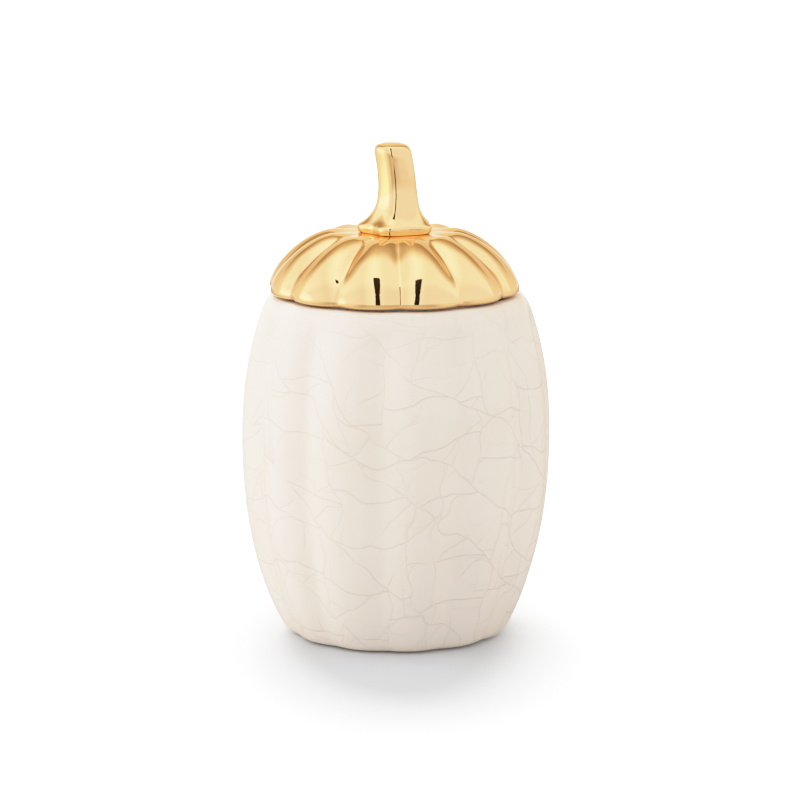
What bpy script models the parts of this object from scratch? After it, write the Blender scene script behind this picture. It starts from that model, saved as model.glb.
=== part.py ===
"""Fluted ceramic pumpkin jar with a gilded lid and a poured candle inside.

The origin is at the middle of the foot ring, on the surface that the jar stands on, with +Z up and
the front towards -Y. Sizes are in millimetres, and each mesh is scaled to metres when it is finished.
"""

import math

import bmesh
import bpy
from mathutils import Matrix

MM = 0.001
FRONT = math.radians(-90)

# Lobes: jar and lid have the same number, and the lid sits turned a little from the jar.
LOBES = 12
JAR_FIRST_GROOVE = FRONT + math.radians(-6)
LID_FIRST_GROOVE = FRONT + math.radians(2.8)
JAR_GROOVE_SOFTNESS = 0.3
LID_GROOVE_SOFTNESS = 0.1
FLUTED_SIDES = 72
PLAIN_SIDES = 36

# Running gap that separate pieces keep where they would touch.
GAP = 0.3

# Jar: a barrel whose outline is a superellipse above and below its belly.
BELLY_RADIUS = 47.95
BELLY_HEIGHT = 61.5
BARREL_BELOW = 78.0
BARREL_ABOVE = 68.6
BARREL_FLATNESS = 2.15
BARREL_FULLNESS = 2.58
JAR_WALL = 4.4
JAR_FLUTE = 2.9
FOOT_FLUTE_SHARE = 0.5
FLUTE_FULL_HEIGHT = 26.0
FLUTE_FADE_START = 95.0
INNER_FLUTE_SHARE = 0.4
FOOT_OUTER = 31.6
FOOT_INNER = 25.5
FOOT_ROUND = 2.4
RECESS_RADIUS = 24.0
RECESS_HEIGHT = 1.8
FLOOR_HEIGHT = 6.0
FLOOR_ROUND = 4.0
LIP_HEIGHT = 105.9
LIP_ROUND = 2.2
LIP_OUTER = 39.8
MOUTH_RADIUS = 34.5
MOUTH_DEPTH = 5.6
NECK_BOTTOM = 93.0

# Lid: a domed shell with a locating flange that hangs in the mouth.
LID_SEAT = 106.5
LID_RADIUS = 39.1
RIM_HEIGHT = 108.2
RIM_ROUND = 1.7
CROWN_RADIUS = 20.0
CROWN_HEIGHT = 125.25
DOME_POWER = 1.52
DIMPLE_RADIUS = 8.4
DIMPLE_DEPTH = 0.5
LID_FLUTE = 2.7
RIM_FLUTE_SHARE = 0.68
FULL_FLUTE_RADIUS = 26.0
FLUTE_END_RADIUS = 12.5
LID_WALL = 3.9
FLANGE_OUTER = 33.2
FLANGE_INNER = 29.4
FLANGE_BOTTOM = 99.0
TENON_HOLE = 3.6

# Seal ring, held in a groove round the flange.
SEAL_BOTTOM = 101.2
SEAL_TOP = 104.6
SEAL_LIP = 0.7
SEAL_OUTER = MOUTH_RADIUS - GAP
SEAL_GROOVE_FLOOR = 31.6

# Stem: a solid casting with a flared, ridged foot and a tenon.
STEM_TOP = 152.0
STEM_RADIUS = 5.95
STEM_FLARE = 4.5
STEM_FLARE_HEIGHT = 128.4
STEM_FLARE_LENGTH = 3.2
STEM_FOOT_RADIUS = 12.2
STEM_FOOT_TOP = 126.65
STEM_FOOT_EDGE = 0.65
STEM_FOOT_SEAT = 7.4
STEM_TOP_ROUND = 1.5
STEM_RIDGES = 5
STEM_FIRST_GROOVE = FRONT + math.radians(22)
STEM_GROOVE_SHARE = 0.07
STEM_FOOT_GROOVE_SHARE = 0.2
STEM_SIDES = 40
TENON_LENGTH = 3.4
# The stem bows: its centre lies furthest to the right at this height, and falls back to the left.
STEM_BOW_HEIGHT = 135.0
STEM_BOW_SHIFT = 0.6
STEM_BOW = 0.0069

# Candle
WAX_TOP = 86.0
WAX_CLEARANCE = 0.35
WICK_RADIUS = 1.1
WICK_TOP = 93.0
STICKER_RADIUS = 7.5
STICKER_THICKNESS = 1.0
TAB_RADIUS = 10.0
TAB_THICKNESS = 0.3
TAB_NECK_INNER = 1.4
TAB_NECK_OUTER = 1.9
TAB_NECK_TOP = 11.0

# Blank paper disc under the foot.
LABEL_RADIUS = 19.0
LABEL_THICKNESS = 0.3


def station(radius, height, groove_r=0.0, groove_z=0.0):
    """A point of an outline, and the way it moves where a groove runs."""
    return radius, height, groove_r, groove_z


def barrel_radius(height):
    """The jar's radius on the crest of a lobe."""
    reach = BARREL_BELOW if height < BELLY_HEIGHT else BARREL_ABOVE
    share = abs(height - BELLY_HEIGHT) / reach
    return BELLY_RADIUS * (1 - share**BARREL_FLATNESS) ** (1 / BARREL_FULLNESS)


def smooth(share):
    """A smooth step from 0 to 1."""
    share = min(max(share, 0.0), 1.0)
    return share * share * (3 - 2 * share)


def jar_flute(height):
    """How deep the jar's grooves are: shallow at the foot, and gone at the lip."""
    rise = FOOT_FLUTE_SHARE + (1 - FOOT_FLUTE_SHARE) * smooth(height / FLUTE_FULL_HEIGHT)
    fade = smooth((height - FLUTE_FADE_START) / (LIP_HEIGHT - LIP_ROUND - FLUTE_FADE_START))
    return JAR_FLUTE * rise * (1 - fade)


def inner_radius(height):
    """The radius of the jar's inner wall on the crest of a lobe, which closes in to the mouth."""
    wall = barrel_radius(height) - JAR_WALL
    neck = smooth((height - NECK_BOTTOM) / (LIP_HEIGHT - MOUTH_DEPTH - NECK_BOTTOM))
    return wall + (MOUTH_RADIUS - wall) * neck


def inner_flute(height):
    fade = smooth((height - WAX_TOP) / (NECK_BOTTOM - WAX_TOP))
    return INNER_FLUTE_SHARE * jar_flute(height) * (1 - fade)


def steps(start, end, count):
    """count + 1 evenly spaced values from start to end."""
    return [start + (end - start) * i / count for i in range(count + 1)]


def arc(centre_r, centre_z, radius, start, end, count, groove_r=0.0):
    """Stations round an arc, with angles in degrees from +X towards +Z."""
    return [
        station(
            centre_r + radius * math.cos(math.radians(a)),
            centre_z + radius * math.sin(math.radians(a)),
            groove_r,
        )
        for a in steps(start, end, count)
    ]


def jar_outline():
    """From the middle of the inner floor, over the lip and down, to the middle of the underside."""
    floor_edge = inner_radius(FLOOR_HEIGHT + FLOOR_ROUND) - FLOOR_ROUND
    floor = [station(0.0, FLOOR_HEIGHT)]
    floor += arc(floor_edge, FLOOR_HEIGHT + FLOOR_ROUND, FLOOR_ROUND, -90, -30, 2)
    inner = [
        station(inner_radius(z), z, -inner_flute(z))
        for z in steps(FLOOR_HEIGHT + FLOOR_ROUND, LIP_HEIGHT - MOUTH_DEPTH, 8)
    ]
    mouth_edge = arc(MOUTH_RADIUS + 0.8, LIP_HEIGHT - 0.8, 0.8, 180, 90, 2)
    lip_edge = arc(LIP_OUTER - LIP_ROUND, LIP_HEIGHT - LIP_ROUND, LIP_ROUND, 90, 15, 3)
    outer = [
        station(barrel_radius(z), z, -jar_flute(z))
        for z in steps(LIP_HEIGHT - LIP_ROUND - 1.0, FOOT_ROUND, 12)
    ]
    foot = [
        station(FOOT_OUTER + 1.7, 0.6, -jar_flute(0.0)),
        station(FOOT_OUTER, 0.0, -jar_flute(0.0)),
        station(FOOT_INNER, 0.0),
        station(RECESS_RADIUS, RECESS_HEIGHT),
        station(0.0, RECESS_HEIGHT),
    ]
    return floor + inner + mouth_edge + lip_edge + outer + foot


def dome_point(share):
    """A point on a lobe's crest, from 0 at the rim to 1 at the crown, as (radius, height)."""
    angle = share * math.pi / 2
    radius = CROWN_RADIUS + (LID_RADIUS - CROWN_RADIUS) * math.cos(angle) ** (2 / DOME_POWER)
    height = RIM_HEIGHT + (CROWN_HEIGHT - RIM_HEIGHT) * math.sin(angle) ** (2 / DOME_POWER)
    return radius, height


def dome_normal(share):
    """The way that the crest faces there, as (radial, up)."""
    nudge = 0.01
    r0, z0 = dome_point(max(share - nudge, 0.0))
    r1, z1 = dome_point(min(share + nudge, 1.0))
    length = math.hypot(r1 - r0, z1 - z0)
    return (z1 - z0) / length, (r0 - r1) / length


def lid_flute(radius):
    """How deep the lid's grooves are at a radius: they fade out towards the stem."""
    return LID_FLUTE * smooth((radius - FLUTE_END_RADIUS) / (FULL_FLUTE_RADIUS - FLUTE_END_RADIUS))


def dome_station(share, inset=0.0, flute=1.0):
    """A station on the dome, or on a surface inset from it."""
    radius, height = dome_point(share)
    out, up = dome_normal(share)
    rise = RIM_FLUTE_SHARE + (1 - RIM_FLUTE_SHARE) * smooth((share - 0.25) / 0.25)
    depth = flute * rise * lid_flute(radius)
    return station(radius - inset * out, height - inset * up, -depth * out, -depth * up)


def crown_height(radius):
    """The height of a lobe's crest between the dimple and the crown."""
    return CROWN_HEIGHT - DIMPLE_DEPTH * (
        1 - smooth((radius - DIMPLE_RADIUS) / (CROWN_RADIUS - DIMPLE_RADIUS))
    )


def crown_station(radius):
    return station(radius, crown_height(radius), 0.0, -lid_flute(radius))


def lid_outline():
    """A closed loop, which starts at the rim and runs over the dome."""
    dome = [dome_station(share) for share in steps(0.0, 0.94, 8)]
    crown = [crown_station(r) for r in steps(CROWN_RADIUS, DIMPLE_RADIUS, 3)]
    seat = CROWN_HEIGHT - DIMPLE_DEPTH
    hole = [station(TENON_HOLE, seat), station(TENON_HOLE, seat - LID_WALL)]
    inside = [dome_station(share, LID_WALL, 0.4) for share in steps(0.88, 0.28, 4)]
    inside[0] = station(inside[0][0], seat - LID_WALL)
    flange = [
        station(FLANGE_INNER, LID_SEAT),
        station(FLANGE_INNER, FLANGE_BOTTOM),
        station(FLANGE_OUTER - 0.6, FLANGE_BOTTOM),
        station(FLANGE_OUTER, FLANGE_BOTTOM + 0.8),
        station(FLANGE_OUTER, SEAL_BOTTOM - GAP),
        station(SEAL_GROOVE_FLOOR, SEAL_BOTTOM - GAP),
        station(SEAL_GROOVE_FLOOR, SEAL_TOP + GAP),
        station(FLANGE_OUTER, SEAL_TOP + GAP),
        station(FLANGE_OUTER, LID_SEAT),
    ]
    rim_flute = -RIM_FLUTE_SHARE * LID_FLUTE
    rim = arc(LID_RADIUS - RIM_ROUND, LID_SEAT + RIM_ROUND, RIM_ROUND, -90, -25, 3, rim_flute)
    return dome + crown + hole + inside + flange + rim


def seal_outline():
    """A closed loop: a band with two soft lips on its outer side."""
    band = SEAL_OUTER - SEAL_LIP
    inner = SEAL_GROOVE_FLOOR + GAP
    third = (SEAL_TOP - SEAL_BOTTOM) / 3
    return [
        station(inner, SEAL_BOTTOM),
        station(band, SEAL_BOTTOM),
        station(SEAL_OUTER, SEAL_BOTTOM + third / 2),
        station(band, SEAL_BOTTOM + third),
        station(band, SEAL_TOP - third),
        station(SEAL_OUTER, SEAL_TOP - third / 2),
        station(band, SEAL_TOP),
        station(inner, SEAL_TOP),
    ]


def stem_groove(radius):
    """How far a groove cuts in: the post is nearly flat between ridges, and its foot is hollowed."""
    flared = max(radius - STEM_RADIUS, 0.0) / (STEM_FOOT_RADIUS - STEM_RADIUS)
    return -radius * (STEM_GROOVE_SHARE + (STEM_FOOT_GROOVE_SHARE - STEM_GROOVE_SHARE) * flared)


def stem_station(height):
    """The stem's radius on a ridge, which flares out towards the foot."""
    flare = STEM_FLARE * math.exp(-(height - STEM_FLARE_HEIGHT) / STEM_FLARE_LENGTH)
    radius = min(STEM_RADIUS + flare, STEM_FOOT_RADIUS)
    return station(radius, height, stem_groove(radius))


def stem_outline():
    """From the bottom of the tenon, out under the foot and up, to the middle of the top."""
    seat = CROWN_HEIGHT - DIMPLE_DEPTH + GAP
    tenon_radius = TENON_HOLE - GAP
    foot_bottom = STEM_FOOT_TOP - STEM_FOOT_EDGE
    rim = STEM_FOOT_RADIUS - STEM_FOOT_EDGE
    top = STEM_TOP - STEM_TOP_ROUND
    foot = [
        station(0.0, seat - TENON_LENGTH),
        station(tenon_radius, seat - TENON_LENGTH),
        station(tenon_radius, seat),
        station(STEM_FOOT_SEAT, seat),
        station(rim, foot_bottom - STEM_FOOT_EDGE, stem_groove(rim)),
        station(STEM_FOOT_RADIUS, foot_bottom, stem_groove(STEM_FOOT_RADIUS)),
    ]
    flare = [stem_station(STEM_FOOT_TOP + rise) for rise in (0.0, 1.1, 2.4, 4.0, 6.0, 9.0, 13.5)]
    post = [stem_station(z) for z in steps(STEM_FOOT_TOP + 18.5, top, 1)]
    rounding = arc(
        STEM_RADIUS - STEM_TOP_ROUND, top, STEM_TOP_ROUND, 40, 90, 2, stem_groove(STEM_RADIUS)
    )
    return foot + flare + post + rounding + [station(0.0, STEM_TOP)]


def wax_outline():
    """A closed loop round the bore for the wick and the pocket for its tab and sticker."""
    bore = WICK_RADIUS + GAP
    neck = TAB_NECK_OUTER + GAP
    pocket = TAB_RADIUS + GAP
    tab_top = FLOOR_HEIGHT + GAP + STICKER_THICKNESS + GAP + TAB_THICKNESS
    bottom = FLOOR_HEIGHT + WAX_CLEARANCE
    round_top = FLOOR_HEIGHT + FLOOR_ROUND
    centre = [
        station(bore, WAX_TOP),
        station(bore, TAB_NECK_TOP + GAP),
        station(neck, TAB_NECK_TOP + GAP),
        station(neck, tab_top + GAP),
        station(pocket, tab_top + GAP),
        station(pocket, bottom),
    ]
    floor_edge = inner_radius(round_top) - FLOOR_ROUND
    rounding = arc(floor_edge - WAX_CLEARANCE, round_top + WAX_CLEARANCE, FLOOR_ROUND, -90, -45, 1)
    side = [
        station(inner_radius(z) - WAX_CLEARANCE, z, -inner_flute(z))
        for z in steps(round_top + 1.5, WAX_TOP, 7)
    ]
    return centre + rounding + side


def tab_outline():
    """A closed loop: a thin disc with a crimped neck round the wick."""
    bottom = FLOOR_HEIGHT + GAP + STICKER_THICKNESS + GAP
    return [
        station(TAB_NECK_INNER, bottom),
        station(TAB_RADIUS, bottom),
        station(TAB_RADIUS, bottom + TAB_THICKNESS),
        station(TAB_NECK_OUTER, bottom + TAB_THICKNESS),
        station(TAB_NECK_OUTER, TAB_NECK_TOP),
        station(TAB_NECK_INNER, TAB_NECK_TOP),
    ]


def disc_outline(radius, bottom, top):
    """A plain disc, from the middle of its underside to the middle of its top."""
    return [station(0.0, bottom), station(radius, bottom), station(radius, top), station(0.0, top)]


def turned(outline, sides, closed=False):
    """Spins an outline round Z. Each vertex keeps its groove direction in a layer."""
    bm = bmesh.new()
    groove = bm.verts.layers.float_vector.new("groove")
    verts = []
    for radius, height, groove_r, groove_z in outline:
        vert = bm.verts.new((radius, 0.0, height))
        vert[groove] = (groove_r, 0.0, groove_z)
        verts.append(vert)
    pairs = list(zip(verts, verts[1:]))
    if closed:
        pairs.append((verts[-1], verts[0]))
    edges = [bm.edges.new(pair) for pair in pairs]
    bmesh.ops.spin(
        bm,
        geom=verts + edges,
        cent=(0, 0, 0),
        axis=(0, 0, 1),
        angle=2 * math.pi,
        steps=sides,
        use_merge=True,
    )
    bmesh.ops.remove_doubles(bm, verts=bm.verts, dist=1e-4)
    bmesh.ops.recalc_face_normals(bm, faces=bm.faces)
    return bm


def lobe(from_groove, softness):
    """1 in a groove and 0 on the crest of the round lobe beside it, for from_groove from 0 to 1."""
    eased = (math.hypot(from_groove, softness) - softness) / (math.hypot(1, softness) - softness)
    return (1 - eased) ** 2


def jar_section(from_groove):
    return lobe(from_groove, JAR_GROOVE_SOFTNESS)


def lid_section(from_groove):
    return lobe(from_groove, LID_GROOVE_SOFTNESS)


def stem_section(from_groove):
    """Faces that run softly from ridge to ridge."""
    return 0.5 + 0.5 * math.cos(math.pi * from_groove)


def carve(bm, lobes, first_groove, section):
    """Moves each vertex along its groove direction, then turns the grooves to their places."""
    groove = bm.verts.layers.float_vector["groove"]
    half_pitch = math.pi / lobes
    for vert in bm.verts:
        radius = math.hypot(vert.co.x, vert.co.y)
        if radius < 1e-6:
            continue
        angle = math.atan2(vert.co.y, vert.co.x) % (2 * half_pitch)
        dip = section(min(angle, 2 * half_pitch - angle) / half_pitch)
        moved = (radius + vert[groove].x * dip) / radius
        vert.co.x *= moved
        vert.co.y *= moved
        vert.co.z += vert[groove].z * dip
    turn = Matrix.Rotation(first_groove, 3, "Z")
    bmesh.ops.rotate(bm, cent=(0, 0, 0), matrix=turn, verts=bm.verts)


def lean_at(height):
    """How far the stem's centre lies to the right at a height: a shallow bow above the foot."""
    bow = STEM_BOW_SHIFT - STEM_BOW * (height - STEM_BOW_HEIGHT) ** 2
    return bow * smooth((height - STEM_FOOT_TOP + 2.0) / 5.0)


def bend_stem(bm):
    for vert in bm.verts:
        vert.co.x += lean_at(vert.co.z)


def material(name, colour, roughness, metallic=0.0):
    made = bpy.data.materials.new(name)
    made.use_nodes = True
    shader = made.node_tree.nodes["Principled BSDF"]
    shader.inputs["Base Color"].default_value = (*colour, 1.0)
    shader.inputs["Roughness"].default_value = roughness
    shader.inputs["Metallic"].default_value = metallic
    return made


def finished(bm, name, surface):
    """Turns a millimetre bmesh into an object in metres, shaded smooth up to 40 degrees."""
    bmesh.ops.scale(bm, vec=(MM, MM, MM), verts=bm.verts)
    mesh = bpy.data.meshes.new(name)
    bm.to_mesh(mesh)
    bm.free()
    mesh.materials.append(surface)
    mesh.shade_smooth()
    mesh.set_sharp_from_angle(angle=math.radians(40))
    made = bpy.data.objects.new(name, mesh)
    bpy.context.scene.collection.objects.link(made)
    return made


def parented(name, children, parent=None):
    """An empty on the jar's axis that carries the pieces that move together."""
    holder = bpy.data.objects.new(name, None)
    bpy.context.scene.collection.objects.link(holder)
    holder.parent = parent
    for child in children:
        child.parent = holder
    return holder


def make_jar(glaze, paper):
    bm = turned(jar_outline(), FLUTED_SIDES)
    carve(bm, LOBES, JAR_FIRST_GROOVE, jar_section)
    jar = finished(bm, "jar", glaze)
    label_top = RECESS_HEIGHT - GAP
    outline = disc_outline(LABEL_RADIUS, label_top - LABEL_THICKNESS, label_top)
    label = finished(turned(outline, PLAIN_SIDES), "base_label", paper)
    return [jar, label]


def make_candle(wax, cotton, tin, foam):
    bm = turned(wax_outline(), FLUTED_SIDES, closed=True)
    carve(bm, LOBES, JAR_FIRST_GROOVE, jar_section)
    fill = finished(bm, "wax_fill", wax)
    tab = finished(turned(tab_outline(), PLAIN_SIDES, closed=True), "wick_tab", tin)
    bottom = FLOOR_HEIGHT + GAP
    outline = disc_outline(STICKER_RADIUS, bottom, bottom + STICKER_THICKNESS)
    sticker = finished(turned(outline, PLAIN_SIDES), "wick_sticker", foam)
    wick_bottom = bottom + STICKER_THICKNESS + GAP + 0.1
    wick = finished(turned(disc_outline(WICK_RADIUS, wick_bottom, WICK_TOP), 12), "wick", cotton)
    return [fill, tab, sticker, wick]


def make_lid(gilding):
    bm = turned(lid_outline(), FLUTED_SIDES, closed=True)
    carve(bm, LOBES, LID_FIRST_GROOVE, lid_section)
    lid = finished(bm, "lid_shell", gilding)
    bm = turned(stem_outline(), STEM_SIDES)
    carve(bm, STEM_RIDGES, STEM_FIRST_GROOVE, stem_section)
    bend_stem(bm)
    return [lid, finished(bm, "stem", gilding)]


def main():
    for old in list(bpy.data.objects):
        bpy.data.objects.remove(old)
    glaze = material("crackle glaze", (0.80, 0.75, 0.68), 0.2)
    gilding = material("gold plating", (0.90, 0.70, 0.36), 0.1, metallic=1.0)
    silicone = material("clear silicone", (0.75, 0.75, 0.73), 0.4)
    wax = material("soy wax", (0.84, 0.79, 0.68), 0.5)
    cotton = material("cotton braid", (0.80, 0.77, 0.70), 0.9)
    tin = material("tinned steel", (0.62, 0.62, 0.62), 0.35, metallic=1.0)
    foam = material("adhesive foam", (0.85, 0.85, 0.84), 0.8)
    paper = material("label paper", (0.85, 0.84, 0.81), 0.7)

    parented("jar_body", make_jar(glaze, paper) + make_candle(wax, cotton, tin, foam))
    seal = finished(turned(seal_outline(), PLAIN_SIDES, closed=True), "seal_ring", silicone)
    lifting = parented("lifting_seal", [seal])
    parented("turning_lid", make_lid(gilding), parent=lifting)


main()
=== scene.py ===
"""Looks of a fluted ceramic pumpkin jar: crackle-glazed body, mirror-gold lid, and the candle inside."""

import math

import bmesh
import bpy
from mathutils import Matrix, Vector


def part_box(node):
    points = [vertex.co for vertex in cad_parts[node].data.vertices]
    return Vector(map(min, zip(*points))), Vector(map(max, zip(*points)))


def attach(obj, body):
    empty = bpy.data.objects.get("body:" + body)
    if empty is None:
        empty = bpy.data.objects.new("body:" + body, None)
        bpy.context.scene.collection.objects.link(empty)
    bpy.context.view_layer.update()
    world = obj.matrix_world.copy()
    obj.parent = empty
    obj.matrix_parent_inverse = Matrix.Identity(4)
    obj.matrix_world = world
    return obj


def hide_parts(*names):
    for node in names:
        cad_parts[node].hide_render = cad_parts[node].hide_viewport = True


MM = 0.001
FRONT = math.radians(-90)

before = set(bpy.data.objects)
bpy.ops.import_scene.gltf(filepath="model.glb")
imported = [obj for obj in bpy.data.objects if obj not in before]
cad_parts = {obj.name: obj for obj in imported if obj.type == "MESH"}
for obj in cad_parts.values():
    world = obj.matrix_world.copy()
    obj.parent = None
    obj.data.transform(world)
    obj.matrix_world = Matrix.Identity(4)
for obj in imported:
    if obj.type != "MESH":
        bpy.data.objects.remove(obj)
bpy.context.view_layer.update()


def top_of(node):
    """A CAD node's highest point, in millimetres."""
    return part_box(node)[1][2] / MM


def half_width(node):
    """Half of a CAD node's size along X, in millimetres."""
    low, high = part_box(node)
    return (high[0] - low[0]) / 2 / MM


# ---------------------------------------------------------------- sizes, in millimetres

# Pieces that touch keep this gap.
GAP = 0.3
# The jar's underside and floor are filled inside a ring of this radius.
POLE_RADIUS = 6.0

# Lobes of jar and lid, and how far the first groove of each is turned from the front.
LOBES = 12
LOBE_CORNERS = 6
LID_LOBE_CORNERS = 8
JAR_TURN = math.radians(-6)
LID_TURN = math.radians(2.8)
# Inner walls follow this share of the grooves outside.
INNER_FLUTE_SHARE = 0.4

# The jar's barrel: its crests start a little past the CAD jar's half width, and smoothing pulls them in.
LIP = top_of("jar")
CREST_PAST_WIDTH = 0.83
BELLY_RADIUS = half_width("jar") + CREST_PAST_WIDTH
BELLY_HEIGHT = 61.5
BARREL_BELOW = 78.0
BARREL_ABOVE = 68.6
BARREL_FLATNESS = 2.15
BARREL_FULLNESS = 2.58
JAR_WALL = 4.4
JAR_FLUTE = 2.9
FOOT_FLUTE_SHARE = 0.5
FLUTE_FULL_HEIGHT = 26.0
FLUTE_FADE_START = 95.0

# The jar's lip, mouth, floor and foot ring.
LIP_OUTER = 39.8
LIP_ROUND = 2.2
MOUTH_RADIUS = 34.5
MOUTH_ROUND = 0.8
MOUTH_DEPTH = 5.6
NECK_BOTTOM = 93.0
FLOOR_BEND = 10.0
FLOOR_HEIGHT = 6.0
FOOT_OUTER = 31.6
FOOT_INNER = 25.5
FOOT_ROUND = 0.3
RECESS_RADIUS = 24.0
RECESS_HEIGHT = 1.8
# This many rings from the middle of the underside outwards are bare clay.
BARE_RINGS = 6

# The lid's dome, and the crown that the stem stands on.
LID_SEAT = LIP + 0.6
LID_RADIUS = 39.1
RIM_ROUND = 1.7
RIM_HEIGHT = LID_SEAT + RIM_ROUND
CROWN_HEIGHT = top_of("lid_shell")
CROWN_RADIUS = 19.6
DOME_POWER = 1.52
DOME_END = 0.96
DOME_SHIFT = -0.7
DIMPLE_RADIUS = 8.4
DIMPLE_DEPTH = 0.5
STEM_SEAT = CROWN_HEIGHT - DIMPLE_DEPTH
LID_FLUTE = 2.7
RIM_FLUTE_SHARE = 0.68
RIM_FLUTE_END = 0.25
FULL_FLUTE_START = 0.5
FULL_FLUTE_RADIUS = 26.0
FLUTE_END_RADIUS = 12.5
GROOVE_ROUND = 0.75

# The lid's hollow, its flange, and the holes in it. A ring this close to a corner keeps it crisp.
LID_WALL = 3.9
HOLLOW_TOP = 0.84
HOLLOW_BOTTOM = 0.28
FLANGE_OUTER = 33.2
FLANGE_INNER = 29.4
FLANGE_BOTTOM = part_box("lid_shell")[0][2] / MM
FLANGE_ROUND = 1.0
TENON_HOLE = 3.6
EDGE = 0.4
CRISP = 0.3

SEAL_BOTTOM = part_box("seal_ring")[0][2] / MM
SEAL_TOP = top_of("seal_ring")
SEAL_OUTER = half_width("seal_ring")
SEAL_BAND = SEAL_OUTER - 0.7
SEAL_LIP = SEAL_OUTER - 0.1
SEAL_GROOVE_FLOOR = 31.6
SEAL_CORNERS = 72

# The stem: a ridged shaft that flares into its foot. Its centre line is a shallow bow.
STEM_TOP = top_of("stem")
STEM_RADIUS = 5.95
STEM_FLARE = 4.5
STEM_FLARE_HEIGHT = 128.4
STEM_FLARE_LENGTH = 3.2
STEM_FOOT_RADIUS = 12.2
STEM_FOOT_TOP = 126.65
STEM_FOOT_EDGE = 0.65
STEM_FOOT_SEAT = 7.4
STEM_CREASE = 1.0
STEM_TOP_ROUND = 2.3
STEM_TOP_DOME = 0.4
STEM_RIDGES = 5
STEM_CORNERS = 8
STEM_TURN = math.radians(22)
STEM_GROOVE_SHARE = 0.07
STEM_FOOT_GROOVE_SHARE = 0.2
STEM_BOW = 0.0069
STEM_BOW_HEIGHT = 135.0
STEM_BOW_SHIFT = 0.6
STEM_BOW_START = STEM_FOOT_TOP - 2.0
STEM_BOW_RAMP = 5.0
STEM_RISES = (0.0, 0.7, 1.5, 2.5, 3.8, 5.5, 7.7, 10.2, 12.9, 15.7, 18.5, 21.0)
TENON_DEPTH = 3.0

WAX_TOP = top_of("wax_fill")
WAX_BOTTOM = 12.0
WAX_CLEARANCE = 0.35
WICK_RADIUS = half_width("wick")
WICK_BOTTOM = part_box("wick")[0][2] / MM
WICK_TOP = top_of("wick")
WICK_STRANDS = 3
WICK_TURNS = 14
WICK_RINGS = WICK_TURNS * 10
STRAND_RADIUS = WICK_RADIUS * 0.46


def smooth(share):
    """A smooth step from 0 to 1."""
    share = min(max(share, 0.0), 1.0)
    return share * share * (3 - 2 * share)


def steps(start, end, count):
    """count + 1 evenly spaced values from start to end."""
    return [start + (end - start) * i / count for i in range(count + 1)]


# ---------------------------------------------------------------- modelling by hand


def pick(piece, test):
    """Selects the points of the piece in edit mode whose place passes a test."""
    mesh = bmesh.from_edit_mesh(piece.data)
    for vert in mesh.verts:
        vert.select_set(test(vert.co))
    mesh.select_flush_mode()
    bmesh.update_edit_mesh(piece.data)


def pick_numbers(piece, numbers):
    """Selects the points of the piece in edit mode that have these numbers."""
    mesh = bmesh.from_edit_mesh(piece.data)
    mesh.verts.ensure_lookup_table()
    for vert in mesh.verts:
        vert.select_set(False)
    for number in numbers:
        mesh.verts[number].select_set(True)
    mesh.select_flush_mode()
    bmesh.update_edit_mesh(piece.data)


def picked(piece):
    """The numbers and places of the selected points."""
    mesh = bmesh.from_edit_mesh(piece.data)
    return [(vert.index, vert.co.copy()) for vert in mesh.verts if vert.select]


class Station:
    """One ring of a turned piece: its radius and height on a crest, and where its grooves go."""

    def __init__(self, radius, height, cut_in=0.0, cut_down=0.0, shift=0.0):
        self.radius = radius
        self.height = height
        self.cut_in = cut_in
        self.cut_down = cut_down
        self.shift = shift

    def place(self, dip):
        """(radius, height) of a point that lies as deep in the groove as dip says, from 0 to 1."""
        return self.radius - self.cut_in * dip, self.height - self.cut_down * dip


def arc(centre_r, centre_z, radius, start, end, count, cut_in=0.0):
    """Stations round an arc, with angles in degrees from outwards towards upwards."""
    return [
        Station(
            centre_r + radius * math.cos(math.radians(a)),
            centre_z + radius * math.sin(math.radians(a)),
            cut_in,
        )
        for a in steps(start, end, count)
    ]


def start_ring(name, station, corners, turn):
    """Adds the first ring of a piece, and goes into edit mode with all of it selected."""
    bpy.ops.object.select_all(action="DESELECT")
    bpy.ops.mesh.primitive_circle_add(
        vertices=corners,
        radius=station.radius * MM,
        location=(station.shift * MM, 0, station.height * MM),
        rotation=(0, 0, turn),
    )
    piece = bpy.context.active_object
    piece.name = name
    bpy.ops.object.transform_apply(location=True, rotation=True, scale=True)
    bpy.ops.object.mode_set(mode="EDIT")
    bpy.ops.mesh.select_mode(type="VERT")
    bpy.ops.mesh.select_all(action="SELECT")
    return piece


def groups_by_depth(piece, shift, lobes, turn, section):
    """Sorts the selected ring's points by how deep in a groove they lie: {dip: [numbers]}."""
    half_pitch = math.pi / lobes
    groups = {}
    for number, place in picked(piece):
        angle = (math.atan2(place.y, place.x - shift * MM) - FRONT - turn) % (2 * half_pitch)
        from_groove = min(angle, 2 * half_pitch - angle) / half_pitch
        groups.setdefault(round(section(from_groove), 4), []).append(number)
    return groups


def shape_ring(piece, station, before, groups):
    """Moves each group of a new ring from where the ring before left it to where it belongs."""
    for dip, numbers in groups.items():
        radius, height = station.place(dip)
        old_radius, old_height = before.place(dip)
        pick_numbers(piece, numbers)
        centre = (before.shift * MM, 0, 0)
        grow = radius / old_radius
        bpy.ops.transform.resize(value=(grow, grow, 1), center_override=centre)
        move = ((station.shift - before.shift) * MM, 0, (height - old_height) * MM)
        bpy.ops.transform.translate(value=move)


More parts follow.
